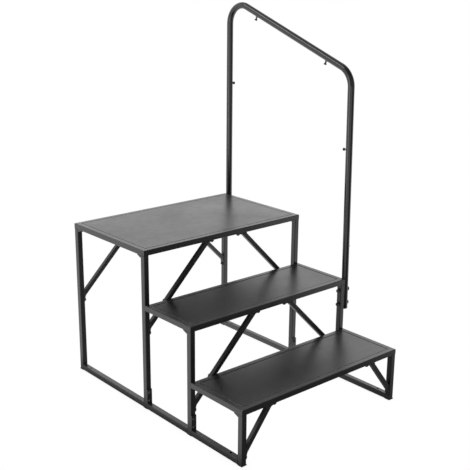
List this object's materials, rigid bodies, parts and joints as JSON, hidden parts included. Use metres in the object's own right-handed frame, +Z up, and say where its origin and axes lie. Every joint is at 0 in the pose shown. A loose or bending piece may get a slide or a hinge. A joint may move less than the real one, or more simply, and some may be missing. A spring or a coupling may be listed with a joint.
{
  "type": "mounting block",
  "caption": "Stepped mounting block of bolted square steel tube with flat black treads, diagonal braces and a tall sloped handrail on one side.",
  "frame": {"origin": "on the floor, at the centre of the rectangle of ground-anchor holes, which is the centre of the base frame", "axes": "+Z up, -Y towards the rider who climbs the steps, +X to the handrail side"},
  "size_m": [0.7626, 0.9485, 1.3648],
  "materials": {
    "frame_coat": "satin black powder coat",
    "deck_coat": "fine-textured satin black powder coat",
    "rail_coat": "satin black powder coat",
    "black_plastic": "matt moulded plastic",
    "black_zinc": "black zinc-plated steel fasteners",
    "bare_steel": "plain steel"
  },
  "bodies": {
    "root": {"bottom_deck": "deck_coat", "middle_deck": "deck_coat", "top_deck": "deck_coat", "deck_stiffeners": "frame_coat", "bottom_rim_front": "frame_coat", "bottom_rim_rear": "frame_coat", "bottom_rim_left": "frame_coat", "bottom_rim_right": "frame_coat", "middle_rim_front": "frame_coat", "middle_rim_rear": "frame_coat", "middle_rim_left": "frame_coat", "middle_rim_right": "frame_coat", "top_rim_front": "frame_coat", "top_rim_rear": "frame_coat", "top_rim_left": "frame_coat", "top_rim_right": "frame_coat", "bottom_leg_left": "frame_coat", "bottom_leg_right": "frame_coat", "middle_leg_left": "frame_coat", "middle_leg_right": "frame_coat", "top_leg_left": "frame_coat", "top_leg_right": "frame_coat", "rear_leg_left": "frame_coat", "rear_leg_right": "frame_coat", "bottom_base_left": "frame_coat", "bottom_base_right": "frame_coat", "middle_base_left": "frame_coat", "middle_base_right": "frame_coat", "top_base_left": "frame_coat", "top_base_right": "frame_coat", "bottom_brace_left": "frame_coat", "bottom_brace_right": "frame_coat", "middle_brace_left": "frame_coat", "middle_brace_right": "frame_coat", "top_brace_left": "frame_coat", "top_brace_right": "frame_coat", "rear_brace_left": "frame_coat", "rear_brace_right": "frame_coat", "foot_plates": "frame_coat", "leg_brackets": "frame_coat", "leg_caps": "black_plastic", "foot_caps": "black_plastic", "rear_post": "rail_coat", "front_post": "rail_coat", "front_tube": "rail_coat", "rail_rear_bend": "rail_coat", "rail_front_bend": "rail_coat", "rail_slope": "rail_coat", "rail_sleeves": "bare_steel", "rail_knobs": "black_zinc", "rail_end_caps": "black_plastic", "seam_screw": "black_zinc", "rail_bolts": "black_zinc", "rail_washers": "black_zinc", "rail_nuts": "black_zinc", "frame_bolts": "black_zinc", "weld_nuts": "bare_steel", "tie_bolts": "black_zinc", "tie_spacers": "black_zinc", "tie_nuts": "black_zinc"}
  },
  "joints": []
}
